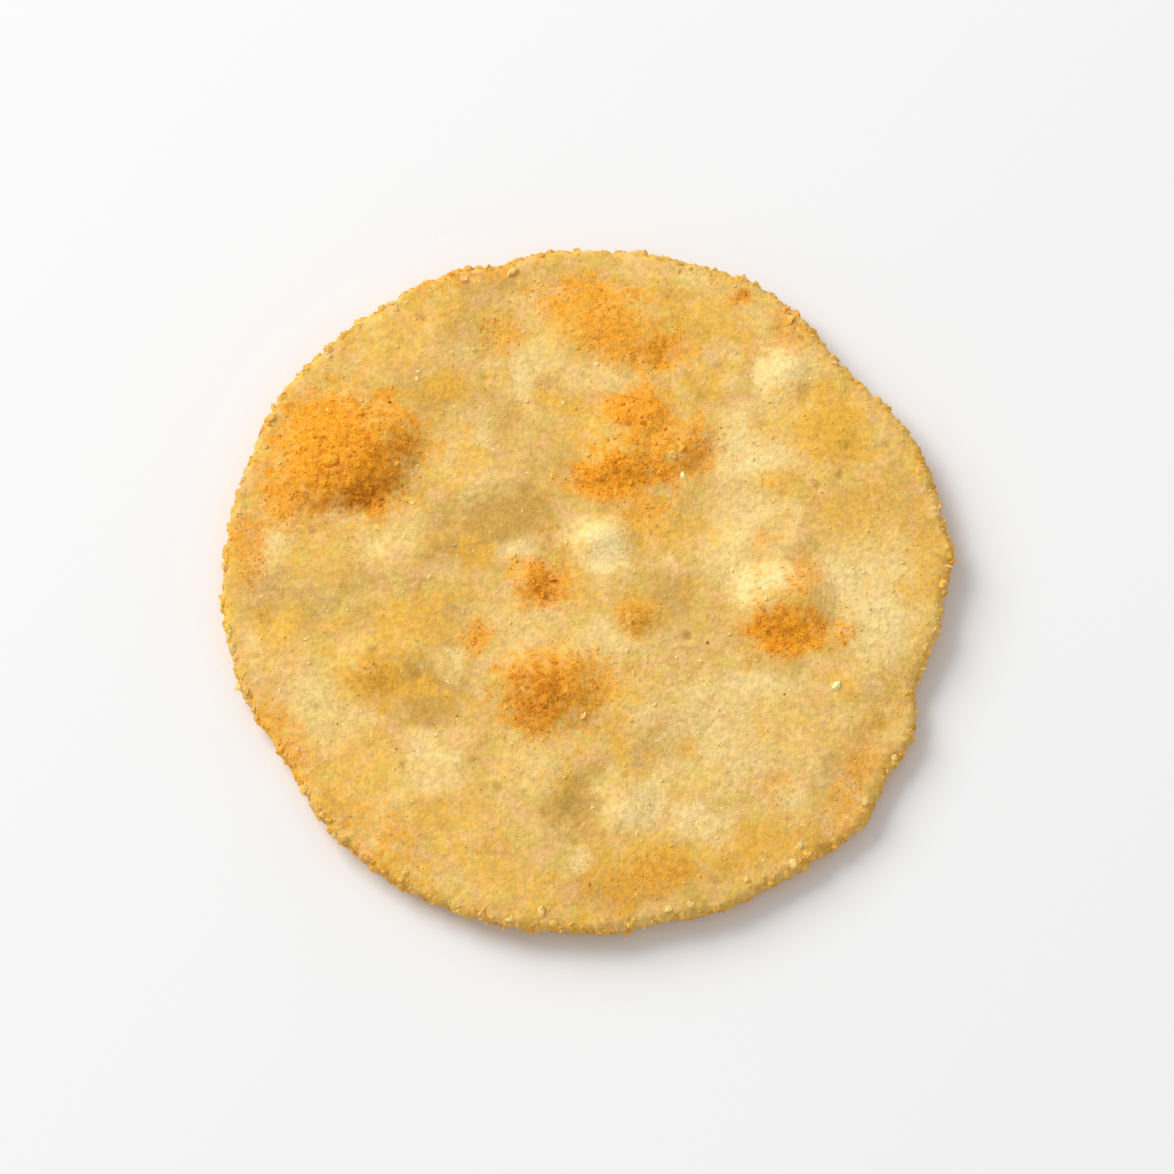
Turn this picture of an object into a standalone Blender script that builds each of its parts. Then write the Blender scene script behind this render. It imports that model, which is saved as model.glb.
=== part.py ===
"""A round seasoned rice cracker: one thin baked disc with blisters on both faces, a ragged rim and coarse
crumbs of seasoning baked onto it. Metres, +Z up; the origin is under the middle of the disc, on the surface
that it rests on."""

import math
import random
from typing import NamedTuple

import bmesh
import bpy
from mathutils import Euler, Matrix, Vector, noise

MM = 0.001

# Driving dimensions
DIAMETER = 47.6 * MM  # of the bare crust; with its crumbs the cracker is 48 mm across
THICKNESS = 2.0 * MM  # of the crust between blisters
RIM_THICKNESS = 1.20 * MM
RIM_ROUNDING = 0.8 * MM  # how far in from the rim the crust begins to thin
RIM_BULGE = 0.06 * MM  # how far the middle of the rim wall stands out
RIM_UNDERCUT = 0.35 * MM  # how far the rim's lower edge lies inside its upper one
DOME_RISE = 0.75 * MM  # how far the middle stands above the rim
RIM_WARP = 0.28 * MM  # height of the rim's high places, and depth of its low ones
RIM_HIGH_PLACES = 3
RIM_WARP_TURN = math.radians(25)  # direction of the first high place
REST_LIFT = 1.02 * MM  # middle of the rim wall above the surface, before the low places are pressed flat
CROWN_POWER = 1.8  # how softly a blister runs out into the crust
BLISTER_WANDER = 1.0 * MM  # how far the edge of a blister wanders from its oval
BLISTER_WANDER_SPAN = 3.6 * MM
WANDER_LAYERS = (2.5, 7.5)  # heights in the noise that the wander in x and the wander in y are read at

# Relief finer than the blisters
SWELL = 0.16 * MM
SWELL_SPAN = 6.5 * MM
CRAG = 0.07 * MM
CRAG_SPAN = 1.9 * MM
RIM_RAGGED = 0.22 * MM
RIM_RAGGED_SPAN = 1.6 * MM
RIM_RAGGED_POWER = 12  # of the share of the radius, so that only the rim is ragged and undercut

# Facets
RINGS = 25
WALL_ROWS = 3

# Crumbs of seasoning large enough to see from a step away
CRUMB_SEED = 11
RIM_CRUMBS = 56
FACE_CRUMBS = 27
CRUMB_RADIUS = (0.19 * MM, 0.36 * MM)
CRUMB_SUNK = 0.35  # share of its radius that a crumb's middle lies under the surface
CRUMB_SQUASH = (0.7, 1.25)
CRUMB_PLAY = 0.42  # share of the step between two rim crumbs
WALL_CRUMB_SHARE = 0.5  # of the rim crumbs, the others lying on the rim's upper edge
WALL_CRUMB_LEVELS = (0.35, 0.95)
EDGE_CRUMB_SHARES = (0.95, 0.99)  # of the radius
SEASONED_BLISTERS = 9  # the first ones of the top, which carry coarse seasoning
BLISTER_REACH = 0.7  # share of a blister that crumbs lie on
FACE_CRUMB_LIMIT = 0.97  # share of the radius

CRUST_COLOUR = (0.78, 0.50, 0.16, 1.0)
CRUST_ROUGHNESS = 0.85

SIXTH_TURN = math.tau / 6


class Wave(NamedTuple):
    """A dip or a swelling of the outline: where it lies, its share of the radius, and how far it spreads."""

    degrees: float
    share: float
    spread: float


class Blister(NamedTuple):
    """A raised oval, or with a negative rise a hollow, in millimetres, turned by some degrees."""

    x: float
    y: float
    long: float
    wide: float
    turn: float
    rise: float


EDGE_WAVES = (
    Wave(5.5, 0.012, 3.5),
    Wave(41, -0.043, 10),
    Wave(62, 0.012, 6),
    Wave(104, -0.020, 6),
    Wave(145, 0.016, 8),
    Wave(212, -0.037, 12),
    Wave(281, -0.016, 3.5),
    Wave(315.5, 0.018, 4),
    Wave(327, -0.022, 4),
    Wave(344, -0.058, 8),
    Wave(357, -0.018, 5),
)

TOP_BLISTERS = (
    Blister(-16.0, 8.9, 5.2, 4.5, 20, 1.30),
    Blister(-14.6, 10.2, 2.6, 2.2, 0, 0.25),
    Blister(3.5, 9.6, 5.2, 3.9, 15, 0.55),
    Blister(3.3, 11.8, 2.9, 2.1, 0, 0.35),
    Blister(1.7, 7.5, 3.1, 1.9, 10, 0.40),
    Blister(6.5, 9.3, 2.2, 2.7, 0, 0.40),
    Blister(12.6, -1.8, 3.9, 3.4, -15, 0.85),
    Blister(-2.0, -7.5, 3.9, 3.2, 0, 0.95),
    Blister(-3.2, -0.3, 1.8, 1.7, 0, 0.45),
    Blister(1.1, 2.3, 2.3, 1.8, -20, 0.60),
    Blister(1.6, 18.0, 5.6, 3.2, -12, 0.45),
    Blister(13.0, 14.3, 2.2, 2.9, 15, 0.45),
    Blister(3.3, -2.7, 1.8, 1.6, 30, 0.30),
    Blister(-14.0, -5.7, 2.6, 2.2, 0, 0.40),
    Blister(15.6, 10.4, 3.2, 2.4, -35, 0.30),
    Blister(2.6, -15.6, 2.2, 3.4, -20, 0.28),
    Blister(-11.3, 1.6, 3.4, 2.6, 30, 0.25),
    Blister(17.8, -8.0, 3.6, 2.6, 60, 0.22),
    Blister(-9.0, 17.0, 3.4, 2.4, 40, 0.25),
    Blister(-7.2, 4.8, 4.6, 2.2, 25, -0.35),
    Blister(0.2, -15.0, 1.9, 2.4, -20, -0.28),
    Blister(-10.4, -6.4, 2.0, 2.4, 0, -0.25),
    Blister(8.6, 4.6, 3.6, 2.2, 30, -0.28),
    Blister(6.2, -11.5, 4.0, 2.6, 35, -0.20),
    Blister(-20.4, -1.6, 2.2, 2.8, 10, -0.25),
)

UNDER_BLISTERS = (
    Blister(-8.5, 9.5, 4.2, 3.4, 30, 0.48),
    Blister(9.5, -8.0, 4.6, 3.6, -20, 0.42),
    Blister(4.0, 6.5, 3.0, 2.4, 0, 0.45),
    Blister(-6.0, -5.0, 3.6, 2.6, 50, 0.55),
    Blister(14.0, 5.5, 2.6, 3.2, 10, 0.35),
    Blister(-14.5, -3.0, 2.8, 2.2, -30, 0.35),
    Blister(1.0, -14.5, 3.4, 2.2, 0, 0.35),
    Blister(-1.5, 15.5, 3.0, 2.2, 15, 0.35),
    Blister(5.0, -1.0, 3.4, 2.4, -30, -0.30),
    Blister(-16.0, 7.0, 2.6, 3.4, 0, -0.25),
)


def outline_radius(angle):
    """The disc's radius in one direction: a circle with the few broad dips and swellings of its cut edge."""
    share = 1.0
    for wave in EDGE_WAVES:
        away = math.remainder(angle - math.radians(wave.degrees), math.tau)
        share += wave.share * math.exp(-((away / math.radians(wave.spread)) ** 2))
    return DIAMETER / 2 * share


def wandered(x, y):
    """Where a point of a face lies for its blisters, whose edges wander from true ovals."""
    across, up = (
        BLISTER_WANDER * noise.noise(Vector((x / BLISTER_WANDER_SPAN, y / BLISTER_WANDER_SPAN, layer)))
        for layer in WANDER_LAYERS
    )
    return x + across, y + up


def relief(blisters, x, y):
    """The sum of the blisters' heights at one point of a face."""
    x, y = wandered(x, y)
    height = 0.0
    for blister in blisters:
        turn = math.radians(blister.turn)
        dx, dy = x - blister.x * MM, y - blister.y * MM
        along = (dx * math.cos(turn) + dy * math.sin(turn)) / (blister.long * MM)
        across = (dy * math.cos(turn) - dx * math.sin(turn)) / (blister.wide * MM)
        crown = max(0.0, 1.0 - along**2 - across**2)
        height += blister.rise * MM * crown**CROWN_POWER
    return height


def half_thickness(inward):
    """Half the crust's thickness at a distance inward from the rim, where it thins in a quarter round."""
    crust, rim = THICKNESS / 2, RIM_THICKNESS / 2
    left = max(0.0, 1.0 - inward / RIM_ROUNDING)
    return rim + (crust - rim) * math.sqrt(1.0 - left**2)


def middle_height(share, angle):
    """Height of the sheet's middle: domed, with a rim that is warped into high and low places."""
    warp = RIM_WARP * share**2 * math.cos(RIM_HIGH_PLACES * (angle - RIM_WARP_TURN))
    return REST_LIFT + DOME_RISE * (1.0 - share**2) + warp


def crust_point(share, angle, level):
    """A point of the surface, from its share of the radius, its angle and its level: 1 on top, -1 underneath,
    and between them on the rim wall."""
    outline = outline_radius(angle)
    ragged = RIM_RAGGED * share**RIM_RAGGED_POWER * noise.noise(
        Vector((math.cos(angle), math.sin(angle), level * RIM_THICKNESS / DIAMETER))
        * (outline / RIM_RAGGED_SPAN)
    )
    undercut = RIM_UNDERCUT * share**RIM_RAGGED_POWER * (1.0 - level) / 2
    radius = share * outline + RIM_BULGE * (1.0 - level**2) + ragged - undercut
    x, y = radius * math.cos(angle), radius * math.sin(angle)
    height = middle_height(share, angle) + level * half_thickness((1.0 - share) * outline)
    if level > 0.99:
        height += relief(TOP_BLISTERS, x, y)
    if level < -0.99:
        height -= relief(UNDER_BLISTERS, x, y)
    height += SWELL * noise.noise(Vector((x, y, 0.0)) / SWELL_SPAN)
    height += CRAG * noise.noise(Vector((x, y, level * CRAG_SPAN)) / CRAG_SPAN)
    return Vector((x, y, max(0.0, height)))


def round_off(flat):
    """Turns a point of a six-sided disc into its share of the radius and its angle, both in even steps."""
    turn = math.atan2(flat.y, flat.x) % math.tau
    sector = math.floor(turn / SIXTH_TURN)
    first = Vector((math.cos(sector * SIXTH_TURN), math.sin(sector * SIXTH_TURN)))
    second = Vector((math.cos((sector + 1) * SIXTH_TURN), math.sin((sector + 1) * SIXTH_TURN)))
    point = flat.to_2d()
    along_first = point.cross(second) / first.cross(second)
    along_second = first.cross(point) / first.cross(second)
    share = along_first + along_second
    if share < 1e-6:
        return 0.0, 0.0
    return min(1.0, share), SIXTH_TURN * (sector + along_second / share)


def make_disc():
    """The baked disc: a six-sided fan cut into even triangles, made a slab and then shaped point by point."""
    bm = bmesh.new()
    upright = Matrix.Rotation(SIXTH_TURN / 2, 4, "Z")
    bmesh.ops.create_circle(bm, cap_ends=True, cap_tris=True, segments=6, radius=1.0, matrix=upright)
    bmesh.ops.subdivide_edges(bm, edges=bm.edges[:], cuts=RINGS - 1, use_grid_fill=True)
    bmesh.ops.translate(bm, verts=bm.verts[:], vec=(0, 0, -1))
    top = bmesh.ops.extrude_face_region(bm, geom=bm.faces[:], use_keep_orig=True)["geom"]
    top_verts = [item for item in top if isinstance(item, bmesh.types.BMVert)]
    bmesh.ops.translate(bm, verts=top_verts, vec=(0, 0, 2))
    uprights = [edge for edge in bm.edges if edge.verts[0].co.z * edge.verts[1].co.z < 0]
    bmesh.ops.subdivide_edges(bm, edges=uprights, cuts=WALL_ROWS - 1, use_grid_fill=True)
    for vert in bm.verts:
        share, angle = round_off(vert.co)
        vert.co = crust_point(share, angle, vert.co.z)
    bmesh.ops.recalc_face_normals(bm, faces=bm.faces[:])
    bmesh.ops.triangulate(bm, faces=bm.faces[:])
    mesh = bpy.data.meshes.new("cracker")
    bm.to_mesh(mesh)
    bm.free()
    return bpy.data.objects.new("cracker", mesh)


def crumb_places(dice):
    """Where the crumbs sit: most along the rim, evenly with some play, the rest over seasoned blisters."""
    for index in range(RIM_CRUMBS):
        angle = math.tau * (index + dice.uniform(-CRUMB_PLAY, CRUMB_PLAY)) / RIM_CRUMBS
        if dice.random() < WALL_CRUMB_SHARE:
            yield 1.0, angle, dice.uniform(*WALL_CRUMB_LEVELS)
        else:
            yield dice.uniform(*EDGE_CRUMB_SHARES), angle, 1.0
    for index in range(FACE_CRUMBS):
        blister = TOP_BLISTERS[index % SEASONED_BLISTERS]
        x = (blister.x + dice.uniform(-BLISTER_REACH, BLISTER_REACH) * blister.long) * MM
        y = (blister.y + dice.uniform(-BLISTER_REACH, BLISTER_REACH) * blister.wide) * MM
        angle = math.atan2(y, x)
        yield min(FACE_CRUMB_LIMIT, math.hypot(x, y) / outline_radius(angle)), angle, 1.0


def make_crumbs(into):
    """Coarse crumbs, each a many-sided grain squashed and turned at random, half sunk in the crust."""
    dice = random.Random(CRUMB_SEED)
    for number, (share, angle, level) in enumerate(crumb_places(dice)):
        radius = dice.uniform(*CRUMB_RADIUS)
        bm = bmesh.new()
        bmesh.ops.create_icosphere(bm, subdivisions=1, radius=radius)
        squash = Matrix.Diagonal([dice.uniform(*CRUMB_SQUASH) for _ in range(3)])
        turned = Euler([dice.uniform(0, math.tau) for _ in range(3)]).to_matrix()
        bmesh.ops.transform(bm, matrix=(turned @ squash).to_4x4(), verts=bm.verts[:])
        mesh = bpy.data.meshes.new(f"crumb_{number:03d}")
        bm.to_mesh(mesh)
        bm.free()
        crumb = bpy.data.objects.new(mesh.name, mesh)
        crumb.location = crust_point(share, angle, level)
        outward = Vector((math.cos(angle), math.sin(angle), 0.0))
        sunk = outward.lerp(Vector((0, 0, 1)), max(0.0, level)) if share < 1.0 else outward
        crumb.location -= sunk * radius * CRUMB_SUNK
        crumb.hide_render = True
        crumb.display_type = "WIRE"
        into.objects.link(crumb)


def fuse(disc, crumbs):
    """Joins every crumb of the collection to the disc, which makes one solid, and removes the loose ones."""
    union = disc.modifiers.new("crumbs", "BOOLEAN")
    union.operation = "UNION"
    union.operand_type = "COLLECTION"
    union.collection = crumbs
    union.solver = "EXACT"
    graph = bpy.context.evaluated_depsgraph_get()
    fused = bpy.data.meshes.new_from_object(disc.evaluated_get(graph), depsgraph=graph)
    disc.modifiers.remove(union)
    disc.data = fused
    for crumb in list(crumbs.objects):
        bpy.data.objects.remove(crumb)
    bpy.data.collections.remove(crumbs)


def crust_material():
    """Dry matt baked crust, tan with a warm yellow seasoning."""
    material = bpy.data.materials.new("seasoned_crust")
    material.use_nodes = True
    shader = material.node_tree.nodes["Principled BSDF"]
    shader.inputs["Base Color"].default_value = CRUST_COLOUR
    shader.inputs["Roughness"].default_value = CRUST_ROUGHNESS
    shader.inputs["Metallic"].default_value = 0.0
    return material


def main():
    for obj in list(bpy.data.objects):
        bpy.data.objects.remove(obj)
    parts = bpy.data.collections.new("rice_cracker")
    crumbs = bpy.data.collections.new("crumbs")
    bpy.context.scene.collection.children.link(parts)
    bpy.context.scene.collection.children.link(crumbs)
    cracker = make_disc()
    parts.objects.link(cracker)
    make_crumbs(crumbs)
    fuse(cracker, crumbs)
    cracker.data.materials.clear()
    cracker.data.materials.append(crust_material())
    cracker.data.shade_smooth()
    cracker.data.set_sharp_from_angle(angle=math.radians(50))


main()
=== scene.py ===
"""A round seasoned rice cracker, dressed: its blistered crust on a fine mesh with the colours of its baking
and seasoning, and the crumbs, powder, crystals and flecks that lie on it. Metres, +Z up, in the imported
model's frame."""

import math
import random
from typing import NamedTuple

import bmesh
import bpy
import numpy as np
from mathutils import Matrix, Vector, noise


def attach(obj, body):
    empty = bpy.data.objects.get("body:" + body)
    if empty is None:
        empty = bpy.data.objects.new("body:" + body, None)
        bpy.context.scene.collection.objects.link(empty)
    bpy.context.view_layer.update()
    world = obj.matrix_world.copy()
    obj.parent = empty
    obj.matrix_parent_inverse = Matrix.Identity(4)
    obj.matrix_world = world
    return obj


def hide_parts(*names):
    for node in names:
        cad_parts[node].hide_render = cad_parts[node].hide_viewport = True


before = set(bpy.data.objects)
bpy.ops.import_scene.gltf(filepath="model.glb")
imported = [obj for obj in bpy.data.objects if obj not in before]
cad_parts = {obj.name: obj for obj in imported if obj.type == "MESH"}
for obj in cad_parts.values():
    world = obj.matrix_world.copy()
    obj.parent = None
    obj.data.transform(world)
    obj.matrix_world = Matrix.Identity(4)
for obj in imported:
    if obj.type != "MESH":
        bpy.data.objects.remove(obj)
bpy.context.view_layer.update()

MM = 0.001

# The disc, with the driving dimensions of its solid
DIAMETER = 47.6 * MM
THICKNESS = 2.0 * MM
RIM_THICKNESS = 1.20 * MM
RIM_ROUNDING = 0.8 * MM
RIM_BULGE = 0.06 * MM
RIM_UNDERCUT = 0.35 * MM
DOME_RISE = 0.75 * MM
RIM_WARP = 0.28 * MM
RIM_HIGH_PLACES = 3
RIM_WARP_TURN = math.radians(25)
REST_LIFT = 1.02 * MM
CROWN_POWER = 1.8
BLISTER_WANDER = 1.0 * MM
BLISTER_WANDER_SPAN = 3.6 * MM
WANDER_LAYERS = (2.5, 7.5)
SWELL = 0.16 * MM
SWELL_SPAN = 6.5 * MM
CRAG = 0.07 * MM
CRAG_SPAN = 1.9 * MM
RIM_RAGGED = 0.22 * MM
RIM_RAGGED_SPAN = 1.6 * MM
RIM_RAGGED_POWER = 12
FACE_LEVEL = 0.99  # the level above which a point lies on a face, not on the rim wall

# Relief that only the fine mesh can hold
WRINKLE = 0.055 * MM
WRINKLE_SPAN = 1.5 * MM
GRIT = 0.022 * MM
GRIT_SPAN = 0.42 * MM
SEASONED_LUMP = 0.26 * MM
SEASONED_LUMP_SPAN = 0.62 * MM
SEASONED_LEAST = 0.25  # strength of orange above which its lumps stand out
RIM_CRUMBLE = 0.42 * MM
RIM_CRUMBLE_SPAN = 0.55 * MM
RIM_CRUMBLE_WIDTH = 0.8 * MM
LUMP_MIDDLE = 0.5  # distance from a lump's middle, in spans, at which it is level with the surface
PIT = 0.13 * MM
PIT_SPAN = 2.6 * MM
PIT_REACH = 0.2  # radius of the largest pits, in spans

# Facets
CAGE_CUTS = (11, 9)
WALL_ROWS = 9
SIXTH_TURN = math.tau / 6
MIDDLE_SHARE = 1e-6  # share of the radius within which a point counts as the middle

# Coarse crumbs, by the rule that places them on the solid
CRUMB_SEED = 11
RIM_CRUMBS = 56
FACE_CRUMBS = 27
CRUMB_RADIUS = (0.19 * MM, 0.36 * MM)
CRUMB_SUNK = 0.35
CRUMB_PLAY = 0.42
CRUMB_DRAWS = 6  # numbers that each of the solid's crumbs draws for its squash and its turn
WALL_CRUMB_SHARE = 0.5
WALL_CRUMB_LEVELS = (0.35, 0.95)
EDGE_CRUMB_SHARES = (0.95, 0.99)
SEASONED_BLISTERS = 9
BLISTER_REACH = 0.7
FACE_CRUMB_LIMIT = 0.97

# Camera, from the photograph: the cracker is 367 pixels wide, and the camera looks down on it at 70 degrees
ACROSS = 48.0 * MM
ACROSS_PIXELS = 367
WINDOW_PIXELS = 587  # the part of the photograph that the render shows, round the cracker
CAMERA_ELEVATION = math.radians(70)
CAMERA_DISTANCE = 0.40
CAMERA_CLIP = (0.01, 10.0)
SENSOR = 36.0


class Wave(NamedTuple):
    """A dip or a swelling of the outline: where it lies, its share of the radius, and how far it spreads."""

    degrees: float
    share: float
    spread: float


class Oval(NamedTuple):
    """An oval place on a face, in millimetres, turned by some degrees. Its rise is a height in millimetres
    for a blister or, below zero, for a hollow, and a strength up to 1 for a patch of colour."""

    x: float
    y: float
    long: float
    wide: float
    turn: float
    rise: float


EDGE_WAVES = (
    Wave(5.5, 0.012, 3.5),
    Wave(41, -0.043, 10),
    Wave(62, 0.012, 6),
    Wave(104, -0.020, 6),
    Wave(145, 0.016, 8),
    Wave(212, -0.037, 12),
    Wave(281, -0.016, 3.5),
    Wave(315.5, 0.018, 4),
    Wave(327, -0.022, 4),
    Wave(344, -0.058, 8),
    Wave(357, -0.018, 5),
)

TOP_BLISTERS = (
    Oval(-16.0, 8.9, 5.2, 4.5, 20, 1.30),
    Oval(-14.6, 10.2, 2.6, 2.2, 0, 0.25),
    Oval(3.5, 9.6, 5.2, 3.9, 15, 0.55),
    Oval(3.3, 11.8, 2.9, 2.1, 0, 0.35),
    Oval(1.7, 7.5, 3.1, 1.9, 10, 0.40),
    Oval(6.5, 9.3, 2.2, 2.7, 0, 0.40),
    Oval(12.6, -1.8, 3.9, 3.4, -15, 0.85),
    Oval(-2.0, -7.5, 3.9, 3.2, 0, 0.95),
    Oval(-3.2, -0.3, 1.8, 1.7, 0, 0.45),
    Oval(1.1, 2.3, 2.3, 1.8, -20, 0.60),
    Oval(1.6, 18.0, 5.6, 3.2, -12, 0.45),
    Oval(13.0, 14.3, 2.2, 2.9, 15, 0.45),
    Oval(3.3, -2.7, 1.8, 1.6, 30, 0.30),
    Oval(-14.0, -5.7, 2.6, 2.2, 0, 0.40),
    Oval(15.6, 10.4, 3.2, 2.4, -35, 0.30),
    Oval(2.6, -15.6, 2.2, 3.4, -20, 0.28),
    Oval(-11.3, 1.6, 3.4, 2.6, 30, 0.25),
    Oval(17.8, -8.0, 3.6, 2.6, 60, 0.22),
    Oval(-9.0, 17.0, 3.4, 2.4, 40, 0.25),
    Oval(-7.2, 4.8, 4.6, 2.2, 25, -0.35),
    Oval(0.2, -15.0, 1.9, 2.4, -20, -0.28),
    Oval(-10.4, -6.4, 2.0, 2.4, 0, -0.25),
    Oval(8.6, 4.6, 3.6, 2.2, 30, -0.28),
    Oval(6.2, -11.5, 4.0, 2.6, 35, -0.20),
    Oval(-20.4, -1.6, 2.2, 2.8, 10, -0.25),
)

UNDER_BLISTERS = (
    Oval(-8.5, 9.5, 4.2, 3.4, 30, 0.48),
    Oval(9.5, -8.0, 4.6, 3.6, -20, 0.42),
    Oval(4.0, 6.5, 3.0, 2.4, 0, 0.45),
    Oval(-6.0, -5.0, 3.6, 2.6, 50, 0.55),
    Oval(14.0, 5.5, 2.6, 3.2, 10, 0.35),
    Oval(-14.5, -3.0, 2.8, 2.2, -30, 0.35),
    Oval(1.0, -14.5, 3.4, 2.2, 0, 0.35),
    Oval(-1.5, 15.5, 3.0, 2.2, 15, 0.35),
    Oval(5.0, -1.0, 3.4, 2.4, -30, -0.30),
    Oval(-16.0, 7.0, 2.6, 3.4, 0, -0.25),
)

# Where the top's seasoning and baking show, by kind, and where shade and light are painted on it
ORANGE_TOP = (
    Oval(-16.4, 8.9, 6.0, 5.0, 20, 0.95),
    Oval(-14.6, 7.2, 3.6, 3.2, 20, 1.00),
    Oval(-19.6, 6.2, 2.6, 3.4, -20, 0.70),
    Oval(3.1, 11.8, 3.2, 2.0, -5, 0.88),
    Oval(2.3, 7.2, 4.4, 2.3, 3, 1.00),
    Oval(4.7, 9.6, 3.4, 2.4, 0, 0.66),
    Oval(7.0, 9.0, 1.7, 2.6, 0, 0.72),
    Oval(4.9, 7.3, 2.0, 1.6, 0, 0.86),
    Oval(4.2, 5.2, 2.2, 1.4, 20, 0.50),
    Oval(13.3, -3.7, 3.5, 2.0, -5, 1.00),
    Oval(14.1, 0.0, 1.7, 2.2, 0, 0.52),
    Oval(-2.5, -7.9, 4.0, 3.4, 0, 0.82),
    Oval(0.3, -7.2, 2.0, 2.6, 0, 0.54),
    Oval(0.2, 19.6, 4.8, 2.6, -10, 0.62),
    Oval(2.2, 17.4, 4.8, 3.0, -35, 0.66),
    Oval(4.7, 16.2, 2.3, 1.9, -10, 0.70),
    Oval(-7.1, -4.0, 1.1, 1.6, 0, 0.70),
    Oval(-3.1, -0.4, 2.2, 2.2, 0, 0.88),
    Oval(-5.3, 17.4, 2.4, 1.5, 10, 0.52),
    Oval(10.4, 20.0, 1.2, 0.9, 0, 0.70),
    Oval(13.0, 17.6, 1.6, 2.6, 20, 0.50),
    Oval(17.3, -13.0, 1.6, 3.0, -25, 0.52),
    Oval(-21.9, 2.6, 1.5, 3.2, 0, 0.56),
    Oval(-19.6, -10.6, 1.6, 3.6, 30, 0.48),
    Oval(12.4, -13.9, 1.5, 1.2, 0, 0.45),
    Oval(3.2, -2.8, 1.4, 1.2, 0, 0.36),
    Oval(-13.6, -16.6, 4.6, 1.8, -42, 0.34),
    Oval(-9.3, 21.6, 3.0, 1.6, 20, 0.50),
    Oval(11.5, 2.9, 1.2, 1.0, 0, 0.42),
    Oval(2.8, -20.6, 7.0, 1.8, 8, 0.32),
)
YELLOW_TOP = (
    Oval(-16.0, 9.0, 7.4, 6.4, 20, 0.75),
    Oval(3.6, 9.3, 6.2, 5.4, 15, 0.60),
    Oval(13.2, -3.0, 4.6, 3.6, 0, 0.60),
    Oval(-1.6, -7.6, 5.2, 4.4, 0, 0.60),
    Oval(2.0, 18.4, 7.4, 4.4, -15, 0.70),
    Oval(-11.8, -3.3, 4.0, 2.8, 0, 0.70),
    Oval(-13.9, -6.8, 2.6, 2.4, 0, 0.95),
    Oval(12.5, 6.7, 2.1, 1.3, 0, 0.75),
    Oval(15.8, 10.9, 4.2, 3.0, -45, 0.94),
    Oval(-9.3, 13.7, 2.0, 1.5, 0, 0.75),
    Oval(5.3, 3.4, 4.0, 2.4, 0, 0.70),
    Oval(11.0, -18.0, 5.2, 2.2, 25, 0.75),
    Oval(4.4, -19.4, 5.0, 2.4, 0, 0.80),
    Oval(-4.4, -20.4, 4.0, 1.8, -10, 0.55),
    Oval(-0.9, 0.0, 1.7, 3.0, 15, 0.60),
    Oval(3.4, -2.7, 2.0, 1.8, 0, 0.95),
    Oval(-12.2, 17.4, 6.5, 2.8, 42, 0.50),
    Oval(-17.6, 1.6, 3.8, 2.4, 0, 0.45),
    Oval(-20.2, -3.8, 2.2, 3.0, 0, 0.62),
    Oval(8.0, 18.6, 4.2, 2.6, -20, 0.60),
    Oval(18.6, 4.8, 3.4, 4.6, 0, 0.52),
    Oval(-15.0, -14.0, 5.6, 5.0, 40, 0.50),
    Oval(-9.0, -16.8, 5.0, 3.2, -20, 0.50),
    Oval(7.0, 5.6, 3.2, 2.0, 0, 0.45),
    Oval(19.8, -9.4, 1.8, 4.6, -20, 0.42),
    Oval(-6.0, -2.2, 3.0, 2.4, 0, 0.38),
    Oval(17.0, 4.4, 3.4, 3.0, 0, 0.60),
    Oval(13.0, -9.8, 3.8, 3.0, 0, 0.44),
    Oval(22.2, 2.0, 1.8, 5.2, 0, 0.62),
    Oval(-4.2, -12.8, 3.0, 2.4, 0, 0.38),
)
PALE_TOP = (
    Oval(0.9, 2.0, 2.6, 2.3, -20, 1.00),
    # Painted light: this lightens the right slope of the blister below the middle, where its own relief
    # shades it.
    Oval(0.5, -6.9, 1.6, 2.0, 0, 0.40),
    Oval(11.4, -0.5, 3.1, 2.4, 20, 1.00),
    Oval(6.4, 9.7, 1.0, 1.1, 0, 0.46),
    Oval(12.9, 14.4, 2.1, 2.8, 0, 0.90),
    Oval(18.2, -0.9, 4.8, 6.0, 0, 0.66),
    Oval(10.0, 4.0, 6.0, 5.0, 0, 0.52),
    Oval(10.6, 9.0, 4.0, 3.8, 0, 0.62),
    Oval(10.9, -7.2, 4.0, 1.4, -10, 0.65),
    Oval(3.3, -8.9, 2.0, 2.4, 0, 0.45),
    Oval(10.0, -10.0, 7.4, 5.2, 10, 0.50),
    Oval(-3.4, -13.0, 2.8, 2.2, 0, 0.50),
    Oval(3.4, -15.6, 2.2, 2.8, -20, 0.62),
    Oval(-4.3, 2.0, 1.9, 1.1, 0, 0.60),
    Oval(-13.6, 2.4, 3.4, 1.8, 20, 0.42),
    Oval(-8.0, 8.6, 2.6, 4.0, 0, 0.48),
    Oval(-20.3, 3.0, 1.4, 2.0, 0, 0.60),
    Oval(7.6, 21.6, 3.0, 1.4, -15, 0.45),
    Oval(-2.6, 16.4, 2.2, 2.2, 0, 0.45),
    Oval(1.5, -4.2, 4.4, 2.0, 20, 0.55),
    Oval(-4.2, -4.6, 1.6, 1.0, 40, 0.50),
    Oval(1.0, 14.2, 3.6, 1.6, 0, 0.45),
    Oval(-17.0, -9.4, 3.4, 4.0, 0, 0.42),
    Oval(-6.0, -3.0, 3.2, 2.4, 0, 0.42),
)
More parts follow.
